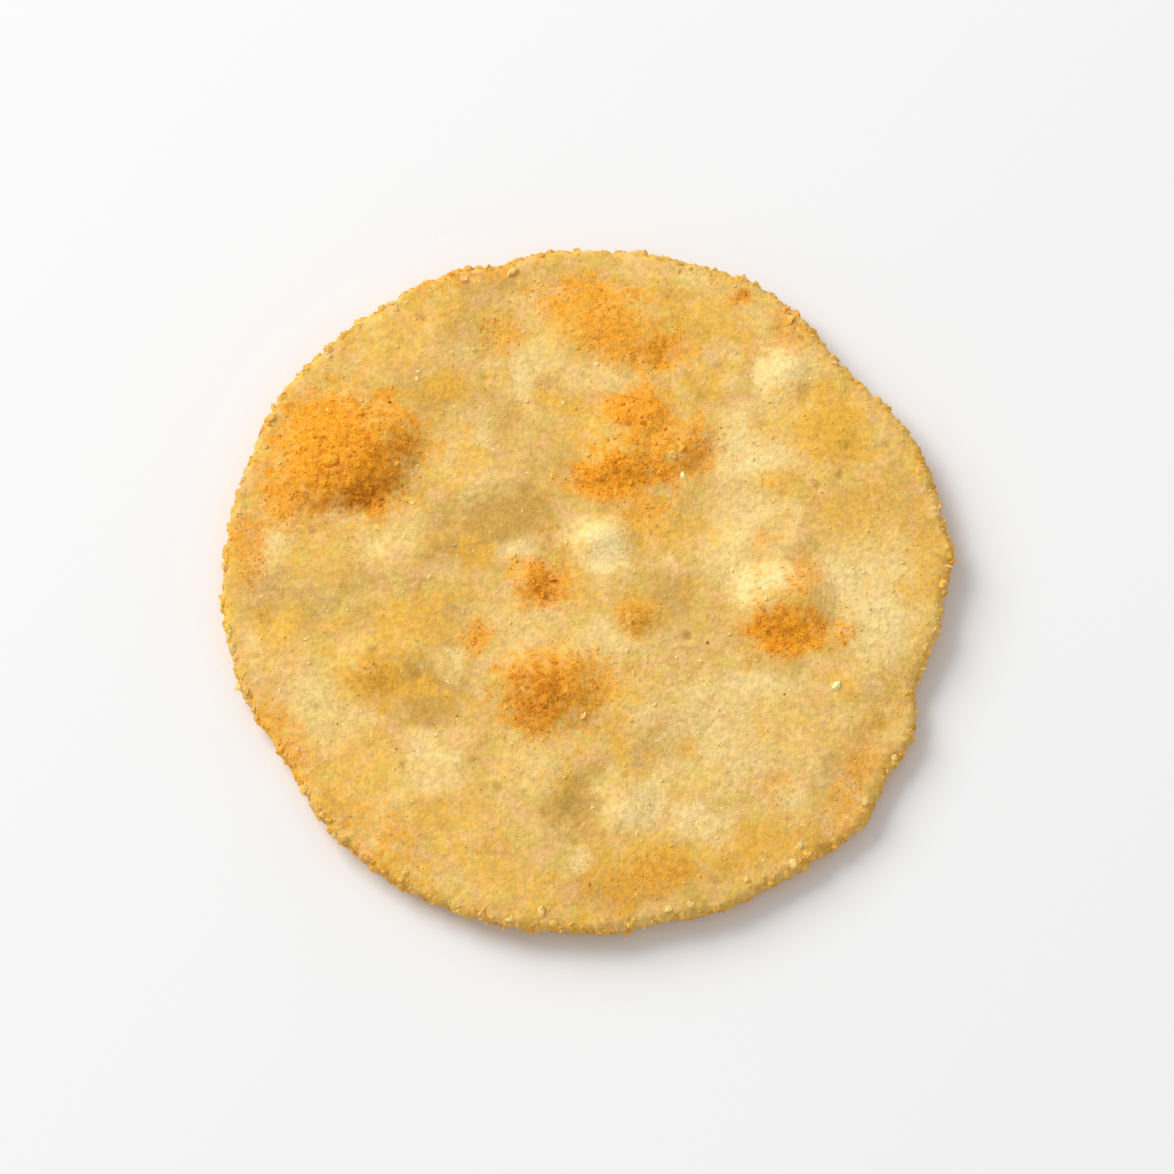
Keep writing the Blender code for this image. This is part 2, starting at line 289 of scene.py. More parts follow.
SCORCHED_AND_SHADED_TOP = (
    Oval(-3.2, -0.6, 1.7, 1.5, 0, 0.20),
    # Painted shade, with some real browning: these three darken the largest blister's lower and right flank,
    # which faces away from the light.
    Oval(-15.8, 5.4, 3.2, 1.0, 14, 0.62),
    Oval(-12.9, 6.4, 2.0, 1.3, 30, 0.52),
    Oval(-11.6, 8.8, 1.3, 2.6, -10, 0.32),
    Oval(-3.4, -8.1, 2.4, 2.8, 0, 0.46),
    Oval(-14.0, -6.7, 1.9, 1.7, 0, 0.30),
    Oval(3.2, -2.8, 1.4, 1.3, 0, 0.40),
    Oval(4.6, 16.4, 1.4, 1.0, -10, 0.25),
    Oval(-2.9, 2.3, 1.4, 1.3, 0, 0.30),
    Oval(10.4, 20.2, 0.8, 0.6, 0, 0.40),
    Oval(5.8, -19.6, 2.4, 1.0, 0, 0.26),
)
# Darker, duller tan. Where these lie over the face's hollows and its diagonal fold, they are painted shade;
# elsewhere they are the dough's own darker patches.
DULL_AND_SHADED_TOP = (
    Oval(-6.2, 3.8, 5.2, 2.5, 25, 0.95),
    Oval(-1.0, -15.4, 2.4, 2.8, 0, 0.70),
    Oval(-10.5, -7.6, 3.6, 2.8, 0, 0.85),
    Oval(-20.0, -1.0, 2.8, 2.6, 0, 0.50),
    Oval(-10.6, 13.2, 3.6, 2.6, 0, 0.70),
    Oval(9.2, 5.2, 2.4, 1.6, 30, 0.50),
    Oval(4.6, -1.8, 3.4, 2.2, 40, 0.62),
    Oval(4.8, -10.8, 3.8, 2.4, 40, 0.50),
    Oval(-7.5, 11.0, 4.8, 3.6, 0, 0.42),
    Oval(-1.5, 9.0, 2.0, 4.4, 0, 0.40),
    Oval(-8.0, 18.6, 3.6, 2.0, 20, 0.50),
    Oval(-14.6, -0.6, 4.0, 2.4, 0, 0.45),
    Oval(-18.0, -1.6, 3.4, 2.8, 0, 0.50),
    Oval(17.6, 5.0, 2.4, 2.4, 0, 0.40),
    Oval(2.6, -20.8, 5.6, 1.8, 5, 0.66),
    Oval(15.4, 10.5, 2.6, 2.0, 0, 0.45),
    Oval(3.4, -2.9, 2.6, 2.0, 0, 0.60),
)


# Shape of the disc

def outline_radius(angle):
    """The disc's radius in one direction: a circle with the few broad dips and swellings of its cut edge."""
    share = 1.0
    for wave in EDGE_WAVES:
        away = math.remainder(angle - math.radians(wave.degrees), math.tau)
        share += wave.share * math.exp(-((away / math.radians(wave.spread)) ** 2))
    return DIAMETER / 2 * share


def within(oval, x, y):
    """Where a point lies in an oval: 0 in its middle and 1 on its edge, squared."""
    turn = math.radians(oval.turn)
    dx, dy = x - oval.x * MM, y - oval.y * MM
    along = (dx * math.cos(turn) + dy * math.sin(turn)) / (oval.long * MM)
    across = (dy * math.cos(turn) - dx * math.sin(turn)) / (oval.wide * MM)
    return along**2 + across**2


def wandered(x, y):
    """Where a point of a face lies for its blisters, whose edges wander from true ovals."""
    across, up = (
        BLISTER_WANDER * noise.noise(Vector((x / BLISTER_WANDER_SPAN, y / BLISTER_WANDER_SPAN, layer)))
        for layer in WANDER_LAYERS
    )
    return x + across, y + up


def relief(blisters, x, y):
    """The sum of the blisters' heights at one point of a face."""
    x, y = wandered(x, y)
    return sum(
        blister.rise * MM * max(0.0, 1.0 - within(blister, x, y)) ** CROWN_POWER for blister in blisters
    )


def half_thickness(inward):
    """Half the crust's thickness at a distance inward from the rim, where it thins in a quarter round."""
    crust, rim = THICKNESS / 2, RIM_THICKNESS / 2
    left = max(0.0, 1.0 - inward / RIM_ROUNDING)
    return rim + (crust - rim) * math.sqrt(1.0 - left**2)


def middle_height(share, angle):
    """Height of the sheet's middle: domed, with a rim that is warped into high and low places."""
    warp = RIM_WARP * share**2 * math.cos(RIM_HIGH_PLACES * (angle - RIM_WARP_TURN))
    return REST_LIFT + DOME_RISE * (1.0 - share**2) + warp


def crust_point(share, angle, level):
    """A point of the surface, from its share of the radius, its angle and its level: 1 on top, -1 underneath,
    and between them on the rim wall."""
    outline = outline_radius(angle)
    ragged = RIM_RAGGED * share**RIM_RAGGED_POWER * noise.noise(
        Vector((math.cos(angle), math.sin(angle), level * RIM_THICKNESS / DIAMETER))
        * (outline / RIM_RAGGED_SPAN)
    )
    undercut = RIM_UNDERCUT * share**RIM_RAGGED_POWER * (1.0 - level) / 2
    radius = share * outline + RIM_BULGE * (1.0 - level**2) + ragged - undercut
    x, y = radius * math.cos(angle), radius * math.sin(angle)
    height = middle_height(share, angle) + level * half_thickness((1.0 - share) * outline)
    if level > FACE_LEVEL:
        height += relief(TOP_BLISTERS, x, y)
    if level < -FACE_LEVEL:
        height -= relief(UNDER_BLISTERS, x, y)
    height += SWELL * noise.noise(Vector((x, y, 0.0)) / SWELL_SPAN)
    height += CRAG * noise.noise(Vector((x, y, level * CRAG_SPAN)) / CRAG_SPAN)
    return Vector((x, y, max(0.0, height)))


def round_off(flat):
    """Turns a point of a six-sided disc into its share of the radius and its angle, with even rings."""
    turn = math.atan2(flat.y, flat.x) % math.tau
    sector = math.floor(turn / SIXTH_TURN)
    first = Vector((math.cos(sector * SIXTH_TURN), math.sin(sector * SIXTH_TURN)))
    second = Vector((math.cos((sector + 1) * SIXTH_TURN), math.sin((sector + 1) * SIXTH_TURN)))
    point = flat.to_2d()
    along_first = point.cross(second) / first.cross(second)
    along_second = first.cross(point) / first.cross(second)
    share = along_first + along_second
    if share < MIDDLE_SHARE:
        return 0.0, 0.0
    return min(1.0, share), SIXTH_TURN * (sector + along_second / share)


# Seasoning and baking, as strengths from 0 to 1 at a point of the surface, with painted shade in hollows,
# pits and on the rim wall

# Spans and depths of a patch's ragged edge
PATCH_RAGGED = ((2.6 * MM, 0.30), (0.9 * MM, 0.30), (0.45 * MM, 0.18))
PATCH_REACH = 1.35  # how far out a patch fades to nothing, in its own radii
PATCH_SOFT = 1.1  # over how much of its radius it fades
STAIN_SPAN = 3.4 * MM
STAIN_FINE_SPAN = 1.1 * MM
STAIN_FINE_SHARE = 0.45
STAIN_STEP = (0.05, 0.75)  # values of the noise between which a stain grows to its full strength
RIM_TOAST_WIDTH = 2.6 * MM
RIM_TOAST = 0.60
RIM_TOAST_PLAY = 1.1
UNDER_RAISED = (0.10 * MM, 0.50 * MM)  # heights between which the underside's blisters take on colour
UNDER_SUNK = (0.05 * MM, 0.25 * MM)  # depths between which its hollows turn darker, as painted shade
UNDER_PALE = 0.8
WALL_LEVELS = 0.6  # how far from the edges' levels the rim wall has its full colour: toasted orange, and painted shade under the upper edge
WALL_ORANGE = 0.50
# Painted shade: the rim wall, under the upper edge, is darkened towards the darkest tan.
WALL_SHADE = 0.60
TOAST_YELLOW = 0.72


class Stain(NamedTuple):
    """A kind of faint stain: its strength, and a shift in metres that sets it off from the others."""

    strength: float
    shift: float


ORANGE_STAIN = Stain(0.18, 0.11)
TOASTED_STAIN = Stain(0.60, 0.53)
YELLOW_STAIN = Stain(0.66, 0.17)
PALE_STAIN = Stain(0.55, 0.23)
DULL_STAIN = Stain(0.60, 0.29)
UNDER_ORANGE_STAIN = Stain(1.0, 0.31)
UNDER_YELLOW_STAIN = Stain(0.8, 0.37)
UNDER_SCORCHED_STAIN = Stain(0.6, 0.43)


def smooth(value, low, high):
    """0 below low, 1 above high, and a soft step between them."""
    step = min(1.0, max(0.0, (value - low) / (high - low)))
    return step * step * (3.0 - 2.0 * step)


def patch_strength(patches, x, y, play):
    """The strongest of some patches at a point. Their edges are ragged by the play, a number about 0."""
    strongest = 0.0
    for patch in patches:
        away = math.sqrt(within(patch, x, y))
        if away < 2 * PATCH_REACH:
            strength = patch.rise * smooth(PATCH_REACH + play - away, 0.0, PATCH_SOFT)
            strongest = max(strongest, strength)
    return strongest


def ragged_play(place):
    """How far the edge of a patch is pushed out or in at a place."""
    return sum(depth * noise.noise(place / span) for span, depth in PATCH_RAGGED)


def stained(place, stain):
    """Stains that lie anywhere, in the manner of spilt powder, from 0 to the strength of their kind."""
    shifted = place + Vector((stain.shift, stain.shift, stain.shift))
    broad = noise.noise(shifted / STAIN_SPAN)
    fine = noise.noise(shifted / STAIN_FINE_SPAN)
    return stain.strength * smooth(broad + STAIN_FINE_SHARE * fine, *STAIN_STEP)


def pitted(place):
    """The small pits of the crust, from 0 to 1 in the middle of a pit."""
    return smooth(PIT_REACH - noise.voronoi(place / PIT_SPAN)[0][0], 0.0, PIT_REACH)


def looks_at(place, share, level):
    """The strengths of orange, yellow, pale, scorched and dull at a point of the surface. Scorched and dull
    also carry painted shade, and pale carries painted light on one slope.
    """
    x, y = place.x, place.y
    play = ragged_play(place)
    inward = (1.0 - share) * DIAMETER / 2
    toast = smooth(RIM_TOAST_WIDTH - inward, 0.0, RIM_TOAST_WIDTH)
    toast *= min(1.0, max(0.0, RIM_TOAST + RIM_TOAST_PLAY * play))
    if level > 0.0:
        orange = patch_strength(ORANGE_TOP, x, y, play)
        yellow = patch_strength(YELLOW_TOP, x, y, play)
        pale = patch_strength(PALE_TOP, x, y, play)
        scorched_and_shade = patch_strength(SCORCHED_AND_SHADED_TOP, x, y, play)
        dull_and_shade = patch_strength(DULL_AND_SHADED_TOP, x, y, play)
    else:
        height = relief(UNDER_BLISTERS, x, y)
        raised = smooth(height, *UNDER_RAISED)
        orange = raised * stained(place, UNDER_ORANGE_STAIN)
        yellow = stained(place, UNDER_YELLOW_STAIN)
        pale = UNDER_PALE * raised * (1.0 - orange)
        scorched_and_shade = raised * stained(place, UNDER_SCORCHED_STAIN)
        # Painted shade: the underside is darker the deeper its hollows sink.
        dull_and_shade = smooth(-height, *UNDER_SUNK)
    wall = smooth(1.0 - abs(level), 0.0, WALL_LEVELS)
    pale_stain = stained(place, PALE_STAIN) * (1.0 - dull_and_shade)
    dull_stain = stained(place, DULL_STAIN) * (1.0 - pale)
    orange = max(
        orange, stained(place, ORANGE_STAIN), toast * stained(place, TOASTED_STAIN), WALL_ORANGE * wall
    )
    yellow = max(yellow, stained(place, YELLOW_STAIN), TOAST_YELLOW * toast)
    pale = max(pale, pale_stain)
    # Darker tone from real stains, and painted shade on the rim wall and in the small pits.
    dull_and_shade = max(dull_and_shade, dull_stain, WALL_SHADE * wall, pitted(place))
    return orange, yellow, pale, scorched_and_shade, dull_and_shade


LOOKS = ("orange", "yellow", "pale", "scorched_and_shade", "dull_and_shade")
EDGE_WIDTH = 0.7 * MM  # of the crumbling upper edge
EDGE_LEVELS = (-0.5, 0.5)  # of the rim wall, between which its crumbling grows


def fine_relief(place, orange, inward):
    """How far the surface stands out from the plain disc: fine wrinkles, grit and pits, and packed lumps
    where seasoning is baked on thickly and along the crumbling rim."""
    out = WRINKLE * noise.noise(place / WRINKLE_SPAN)
    out += GRIT * noise.noise(place / GRIT_SPAN) - PIT * pitted(place)
    crumble = smooth(RIM_CRUMBLE_WIDTH - inward, 0.0, RIM_CRUMBLE_WIDTH)
    seasoned = smooth(orange, SEASONED_LEAST, 1.0)
    rim_lumps = (RIM_CRUMBLE * crumble, RIM_CRUMBLE_SPAN)
    seasoned_lumps = (SEASONED_LUMP * seasoned, SEASONED_LUMP_SPAN)
    for depth, span in (rim_lumps, seasoned_lumps):
        if depth > 0.0:
            out += depth * (LUMP_MIDDLE - noise.voronoi(place / span)[0][0])
    return out


def add_wall(bm):
    """The rim wall between the two faces: rows of quads in a fixed order, the same in each run."""
    rim = [vert for vert in bm.verts if vert.is_boundary]
    rim.sort(key=lambda vert: math.atan2(vert.co.y, vert.co.x))
    lower = [vert for vert in rim if vert.co.z < 0]
    upper = [vert for vert in rim if vert.co.z > 0]
    rows = [lower]
    for row in range(1, WALL_ROWS):
        level = 2 * row / WALL_ROWS - 1
        rows.append([bm.verts.new((vert.co.x, vert.co.y, level)) for vert in lower])
    rows.append(upper)
    for below, above in zip(rows, rows[1:]):
        for index in range(len(below)):
            bm.faces.new((below[index - 1], below[index], above[index], above[index - 1]))


def make_crust():
    """The baked disc: a six-sided fan cut into fine even triangles, made a slab, shaped point by point to
    the solid's form, and then roughened along its normals."""
    bm = bmesh.new()
    upright = Matrix.Rotation(SIXTH_TURN / 2, 4, "Z")
    bmesh.ops.create_circle(bm, cap_ends=True, cap_tris=True, segments=6, radius=1.0, matrix=upright)
    for cuts in CAGE_CUTS:
        bmesh.ops.subdivide_edges(bm, edges=bm.edges[:], cuts=cuts, use_grid_fill=True)
    bmesh.ops.translate(bm, verts=bm.verts[:], vec=(0, 0, -1))
    top = bmesh.ops.duplicate(bm, geom=bm.faces[:])["geom"]
    top_verts = [item for item in top if isinstance(item, bmesh.types.BMVert)]
    bmesh.ops.translate(bm, verts=top_verts, vec=(0, 0, 2))
    add_wall(bm)
    layers = [bm.verts.layers.float.new(name) for name in LOOKS]
    edge_layer = bm.verts.layers.float.new("edge")
    inwards = []
    for vert in bm.verts:
        share, angle = round_off(vert.co)
        level = vert.co.z
        vert.co = crust_point(share, angle, level)
        for layer, strength in zip(layers, looks_at(vert.co, share, level)):
            vert[layer] = strength
        inward = (1.0 - share) * DIAMETER / 2
        vert[edge_layer] = smooth(EDGE_WIDTH - inward, 0.0, EDGE_WIDTH) * smooth(level, *EDGE_LEVELS)
        inwards.append(inward)
    bmesh.ops.recalc_face_normals(bm, faces=bm.faces[:])
    bmesh.ops.triangulate(bm, faces=bm.faces[:])
    bm.normal_update()
    moves = [
        vert.normal * fine_relief(vert.co, vert[layers[0]], inward)
        for vert, inward in zip(bm.verts, inwards)
    ]
    for vert, move in zip(bm.verts, moves):
        vert.co += move
        vert.co.z = max(0.0, vert.co.z)
    mesh = bpy.data.meshes.new("baked_crust")
    bm.to_mesh(mesh)
    bm.free()
    mesh.shade_smooth()
    return show("baked_crust", mesh)


def show(name, mesh):
    """Puts a mesh in the scene as a piece that rides on the cracker's one body."""
    piece = bpy.data.objects.new(name, mesh)
    bpy.context.scene.collection.objects.link(piece)
    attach(piece, "root")
    return piece


# Grains of every kind: joined meshes from arrays

class Soil(NamedTuple):
    """The crust's faces as arrays: their corners, normals and areas, their strengths of each look, and how
    near they are to the crumbling upper edge, from 0 to 1."""

    corners: np.ndarray
    normals: np.ndarray
    areas: np.ndarray
    looks: dict
    edge: np.ndarray


THINNEST_AREA = 1e-15  # square metres, so that a face without an area still divides


def read_soil(crust):
    """The crust as a place to sow grains on."""
    mesh = crust.data
    count = len(mesh.vertices)
    places = np.empty(count * 3)
    mesh.vertices.foreach_get("co", places)
    places = places.reshape(-1, 3)
    mesh.calc_loop_triangles()
    triangles = np.empty(len(mesh.loop_triangles) * 3, dtype=np.int32)
    mesh.loop_triangles.foreach_get("vertices", triangles)
    triangles = triangles.reshape(-1, 3)
    corners = places[triangles]
    cross = np.cross(corners[:, 1] - corners[:, 0], corners[:, 2] - corners[:, 0])
    areas = np.linalg.norm(cross, axis=1) / 2
    normals = cross / np.maximum(2 * areas, THINNEST_AREA)[:, None]
    strengths = {}
    for name in (*LOOKS, "edge"):
        values = np.empty(count)
        mesh.attributes[name].data.foreach_get("value", values)
        strengths[name] = values[triangles].mean(axis=1)
    edge = strengths.pop("edge")
    return Soil(corners, normals, areas, strengths, edge)


def sow(soil, thickness, count, rng, least=None):
    """Random places on the crust, more of them where the thickness of sowing is high, with their normals and
    the crust's looks there, each raised to its least strength."""
    weights = soil.areas * thickness
    chosen = rng.choice(len(weights), size=count, p=weights / weights.sum())
    one, two = rng.random(count), rng.random(count)
    folded = one + two > 1.0
    one[folded], two[folded] = 1.0 - one[folded], 1.0 - two[folded]
    first, second, third = np.moveaxis(soil.corners[chosen], 1, 0)
    places = first + one[:, None] * (second - first) + two[:, None] * (third - first)
    least = least or {}
    looks = {name: np.maximum(soil.looks[name][chosen], least.get(name, 0.0)) for name in LOOKS}
    return places, soil.normals[chosen], looks


GRAIN_SHAPES = 12
GRAIN_JITTER = 0.55
GRAIN_BUMPS = 1.7  # bumps to a grain's radius
GRAIN_SQUASH = (0.5, 1.35)
SMALL_GRAINS_POWER = 2.2  # how much more common small grains are than large ones


def grain_shapes(subdivisions, seed):
    """A few many-sided grains of radius 1, each a ball pushed out of true, and the corners of their faces."""
    shapes = []
    for number in range(GRAIN_SHAPES):
        bm = bmesh.new()
        bmesh.ops.create_icosphere(bm, subdivisions=subdivisions, radius=1.0)
        for vert in bm.verts:
            place = vert.co * GRAIN_BUMPS + Vector((seed, number, 0))
            vert.co *= 1.0 + GRAIN_JITTER * noise.noise(place)
        shapes.append([tuple(vert.co) for vert in bm.verts])
        faces = [[vert.index for vert in face.verts] for face in bm.faces]
        bm.free()
    return np.array(shapes), np.array(faces)


def turns(count, rng):
    """Random rotation matrices."""
    quats = rng.normal(size=(count, 4))
    w, x, y, z = (quats / np.linalg.norm(quats, axis=1)[:, None]).T
    rows = (
        (1 - 2 * (y * y + z * z), 2 * (x * y - z * w), 2 * (x * z + y * w)),
        (2 * (x * y + z * w), 1 - 2 * (x * x + z * z), 2 * (y * z - x * w)),
        (2 * (x * z - y * w), 2 * (y * z + x * w), 1 - 2 * (x * x + y * y)),
    )
    return np.moveaxis(np.array(rows), 2, 0)


def make_grains(name, places, normals, looks, radii, sunk, rng, subdivisions=1):
    """One joined mesh of grains, each squashed and turned at random and sunk into the crust by a share of
    its radius. Each has a tint from 0 to 1 that is its own, and the looks of the crust where it lies."""
    shapes, faces = grain_shapes(subdivisions, len(name))
    count = len(places)
    grains = shapes[rng.integers(len(shapes), size=count)]
    squash = rng.uniform(*GRAIN_SQUASH, size=(count, 1, 3))
    grains = grains * squash * radii[:, None, None]
    grains = np.einsum("nij,nkj->nki", turns(count, rng), grains)
    grains += (places - normals * (radii * sunk)[:, None])[:, None, :]
    grains[:, :, 2] = np.maximum(grains[:, :, 2], 0.0)
    corners = shapes.shape[1]
    joined = (faces[None] + (np.arange(count) * corners)[:, None, None]).reshape(-1, 3)
    mesh = bpy.data.meshes.new(name)
    mesh.from_pydata(grains.reshape(-1, 3).tolist(), [], joined.tolist())
    for kind, values in {"tint": rng.random(count), **looks}.items():
        layer = mesh.attributes.new(kind, "FLOAT", "POINT")
        layer.data.foreach_set("value", np.repeat(values, corners).astype(np.float32))
    return show(name, mesh)


def crumb_places(dice):
    """Where the coarse crumbs sit: most along the rim, evenly with some play, and the rest over seasoned
    blisters."""
    for index in range(RIM_CRUMBS):
        angle = math.tau * (index + dice.uniform(-CRUMB_PLAY, CRUMB_PLAY)) / RIM_CRUMBS
        if dice.random() < WALL_CRUMB_SHARE:
            yield 1.0, angle, dice.uniform(*WALL_CRUMB_LEVELS)
        else:
            yield dice.uniform(*EDGE_CRUMB_SHARES), angle, 1.0
    for index in range(FACE_CRUMBS):
        blister = TOP_BLISTERS[index % SEASONED_BLISTERS]
        x = (blister.x + dice.uniform(-BLISTER_REACH, BLISTER_REACH) * blister.long) * MM
        y = (blister.y + dice.uniform(-BLISTER_REACH, BLISTER_REACH) * blister.wide) * MM
        angle = math.atan2(y, x)
        yield min(FACE_CRUMB_LIMIT, math.hypot(x, y) / outline_radius(angle)), angle, 1.0


COARSE_DULL_AND_SHADE = 0.3  # share of the crust's dullness and painted shade that the coarse crumbs keep
COARSE_LEAST_PALE = 0.5


def make_coarse_crumbs():
    """The crumbs that the solid has too, at their places and sizes there, with more facets."""
    dice = random.Random(CRUMB_SEED)
    places, normals, radii, looks = [], [], [], []
    for share, angle, level in crumb_places(dice):
        radii.append(dice.uniform(*CRUMB_RADIUS))
        for _ in range(CRUMB_DRAWS):
            dice.random()
        outward = Vector((math.cos(angle), math.sin(angle), 0.0))
        place = crust_point(share, angle, level)
        places.append(place)
        normals.append(outward.lerp(Vector((0, 0, 1)), max(0.0, level)) if share < 1.0 else outward)
        looks.append(looks_at(place, share, 1.0))
    looks = dict(zip(LOOKS, np.array(looks).T))
    looks["dull_and_shade"] *= COARSE_DULL_AND_SHADE
    looks["pale"] = np.maximum(looks["pale"], COARSE_LEAST_PALE)
    rng = np.random.default_rng(CRUMB_SEED)
    places, normals, radii = np.array(places), np.array(normals), np.array(radii)
    return make_grains("coarse_crumbs", places, normals, looks, radii, CRUMB_SUNK, rng, subdivisions=2)


def radii_between(low, high, count, rng):
    """Radii of which small ones are the most common."""
    return low + (high - low) * rng.random(count) ** SMALL_GRAINS_POWER


POWDER_SEED = 21
POWDER_GRAINS = 9400
POWDER_RADII = (0.05 * MM, 0.15 * MM)
POWDER_SUNK = 0.5
POWDER_POWER = 1.5  # how strongly the powder keeps to the orange patches
POWDER_ANYWHERE = 0.004
POWDER_LEAST_ORANGE = 0.45
GRANULES = 1500  # of the powder's grains, which are larger where seasoning lies thickly
GRANULE_GROWTH = 1.9


def make_powder(soil):
    """Orange seasoning powder, baked onto the patches and the tops of blisters."""
    rng = np.random.default_rng(POWDER_SEED)
    thickness = soil.looks["orange"] ** POWDER_POWER + POWDER_ANYWHERE
    places, normals, looks = sow(soil, thickness, POWDER_GRAINS, rng, {"orange": POWDER_LEAST_ORANGE})
    radii = radii_between(*POWDER_RADII, POWDER_GRAINS, rng)
    radii[:GRANULES] *= GRANULE_GROWTH * looks["orange"][:GRANULES] ** 2
    radii = np.maximum(radii, POWDER_RADII[0])
    return make_grains("orange_powder", places, normals, looks, radii, POWDER_SUNK, rng)


YELLOW_SEED = 22
YELLOW_CRUMBS = 6000
YELLOW_RADII = (0.05 * MM, 0.15 * MM)
YELLOW_SUNK = 0.60
YELLOW_ANYWHERE = 0.04
YELLOW_EDGE = 2.0
LEAST_YELLOW = 0.60


def make_yellow_crumbs(soil):
    """Yellow seasoning crumbs, sparse anywhere and thicker on the dusted patches and along the rim."""
    rng = np.random.default_rng(YELLOW_SEED)
    thickness = YELLOW_ANYWHERE + soil.looks["yellow"] ** 2 + YELLOW_EDGE * soil.edge
    places, normals, looks = sow(soil, thickness, YELLOW_CRUMBS, rng, {"yellow": LEAST_YELLOW})
    radii = radii_between(*YELLOW_RADII, YELLOW_CRUMBS, rng)
    return make_grains("yellow_crumbs", places, normals, looks, radii, YELLOW_SUNK, rng)


PALE_SEED = 23
STREWN_CRUMBS = 2500  # of the pale crumbs, which lie anywhere
STREWN_RADII = (0.05 * MM, 0.20 * MM)
STREWN_ANYWHERE = 0.03
STREWN_ON_PALE = 0.10
STREWN_LEAST_PALE = 0.70
EDGE_CRUMBS = 1500  # of the pale crumbs, which lie along the upper edge
EDGE_RADII = (0.12 * MM, 0.36 * MM)
EDGE_ANYWHERE = 0.4  # beside the strength of yellow, where they gather
EDGE_LEAST_YELLOW = 0.55
PALE_DULL_AND_SHADE = 0.4  # share of the crust's dullness and painted shade that the pale crumbs keep
PALE_SUNK = 0.45


def make_pale_crumbs(soil):
    """Pale flakes of puffed dough: some over the faces, and larger ones in uneven clusters along the
    crumbling rim."""
    rng = np.random.default_rng(PALE_SEED)
    thickness = STREWN_ANYWHERE + STREWN_ON_PALE * soil.looks["pale"]
    strewn = sow(soil, thickness, STREWN_CRUMBS, rng, {"pale": STREWN_LEAST_PALE})
    edge_thickness = soil.edge**2 * (EDGE_ANYWHERE + soil.looks["yellow"])
    edge = sow(soil, edge_thickness, EDGE_CRUMBS, rng, {"yellow": EDGE_LEAST_YELLOW})
    places, normals = (np.concatenate(pair) for pair in zip(strewn[:2], edge[:2]))
    looks = {name: np.concatenate([strewn[2][name], edge[2][name]]) for name in LOOKS}
    looks["dull_and_shade"] *= PALE_DULL_AND_SHADE
    strewn_radii = radii_between(*STREWN_RADII, STREWN_CRUMBS, rng)
    radii = np.concatenate([strewn_radii, radii_between(*EDGE_RADII, EDGE_CRUMBS, rng)])
    return make_grains("pale_crumbs", places, normals, looks, radii, PALE_SUNK, rng)


# Salt crystals and flecks, the ones that are seen in millimetres and the rest strewn
SPOTS_ANYWHERE = 0.3
CRYSTAL_SEED = 24
CRYSTAL_SPOTS = ((6.3, 7.1), (16.2, -7.3), (13.7, -18.1))
CRYSTAL_RADIUS = 0.31 * MM
SMALL_CRYSTALS = 34
SMALL_CRYSTAL_RADII = (0.06 * MM, 0.14 * MM)
CRYSTAL_SUNK = 0.3
FLECK_SEED = 25
FLECK_SPOTS = ((10.1, 15.2), (17.3, 3.7), (7.8, -4.4), (-13.0, 12.4), (-12.3, -11.6), (12.8, -7.9))
FLECK_RADIUS = 0.12 * MM
SMALL_FLECKS = 60
SMALL_FLECK_RADII = (0.04 * MM, 0.09 * MM)
FLECK_SUNK = 0.45


def top_point(x, y):
    """The point of the plain upper face over a place, in millimetres."""
    angle = math.atan2(y, x)
    share = math.hypot(x, y) * MM / outline_radius(angle)
    return crust_point(share, angle, 1.0)


def seen_and_strewn(soil, thickness, spots, radius, count, radii, rng):
    """Places, normals and radii of a few large grains at known spots, and of small ones sown on the crust."""
    strewn, normals, _ = sow(soil, thickness, count, rng)
    seen = np.array([top_point(x, y) for x, y in spots])
    places = np.concatenate([seen, strewn])
    normals = np.concatenate([np.tile((0.0, 0.0, 1.0), (len(seen), 1)), normals])
    return places, normals, np.concatenate([np.full(len(seen), radius), radii_between(*radii, count, rng)])


def make_crystals(soil):
    """Clear salt crystals: three large ones, and small ones strewn about."""
    rng = np.random.default_rng(CRYSTAL_SEED)
    thickness = SPOTS_ANYWHERE + soil.looks["orange"] + soil.looks["yellow"]
    places, normals, radii = seen_and_strewn(
        soil, thickness, CRYSTAL_SPOTS, CRYSTAL_RADIUS, SMALL_CRYSTALS, SMALL_CRYSTAL_RADII, rng
    )
    return make_grains("salt_crystals", places, normals, {}, radii, CRYSTAL_SUNK, rng)


def make_flecks(soil):
    """Small dark flecks of browned seasoning."""
    rng = np.random.default_rng(FLECK_SEED)
    thickness = SPOTS_ANYWHERE + soil.looks["scorched_and_shade"] + soil.looks["orange"]
    places, normals, radii = seen_and_strewn(
        soil, thickness, FLECK_SPOTS, FLECK_RADIUS, SMALL_FLECKS, SMALL_FLECK_RADII, rng
    )
    return make_grains("browned_flecks", places, normals, {}, radii, FLECK_SUNK, rng)


# Colours, as the surface's own under white light, though the dull tan and the scorched brown also serve as
# painted shade
TAN_LIGHT = (0.815, 0.550, 0.183)
TAN_DEEP = (0.71, 0.418, 0.100)
TAN_DULL_AND_SHADE = (0.57, 0.330, 0.074)
TAN_BLUSH = (0.84, 0.500, 0.205)
TAN_STRAW = (0.74, 0.530, 0.120)
PALE = (0.95, 0.733, 0.325)
YELLOW = (0.84, 0.445, 0.048)
ORANGE = (0.93, 0.398, 0.028)
ORANGE_DEEP = (0.79, 0.270, 0.010)
SCORCHED_AND_SHADE = (0.49, 0.155, 0.010)

# Spans of the finish's patterns
CLOUD_SPAN = 2.4 * MM
BLOTCH_SPAN = 1.3 * MM
BLOTCH_STRENGTH = 0.7
SPECKLE_SPAN = 0.42 * MM
FINE_GRIT_SPAN = 0.17 * MM
COARSE_GRIT_SPAN = 0.30 * MM
CRUMB_GRIT_SPAN = 0.12 * MM


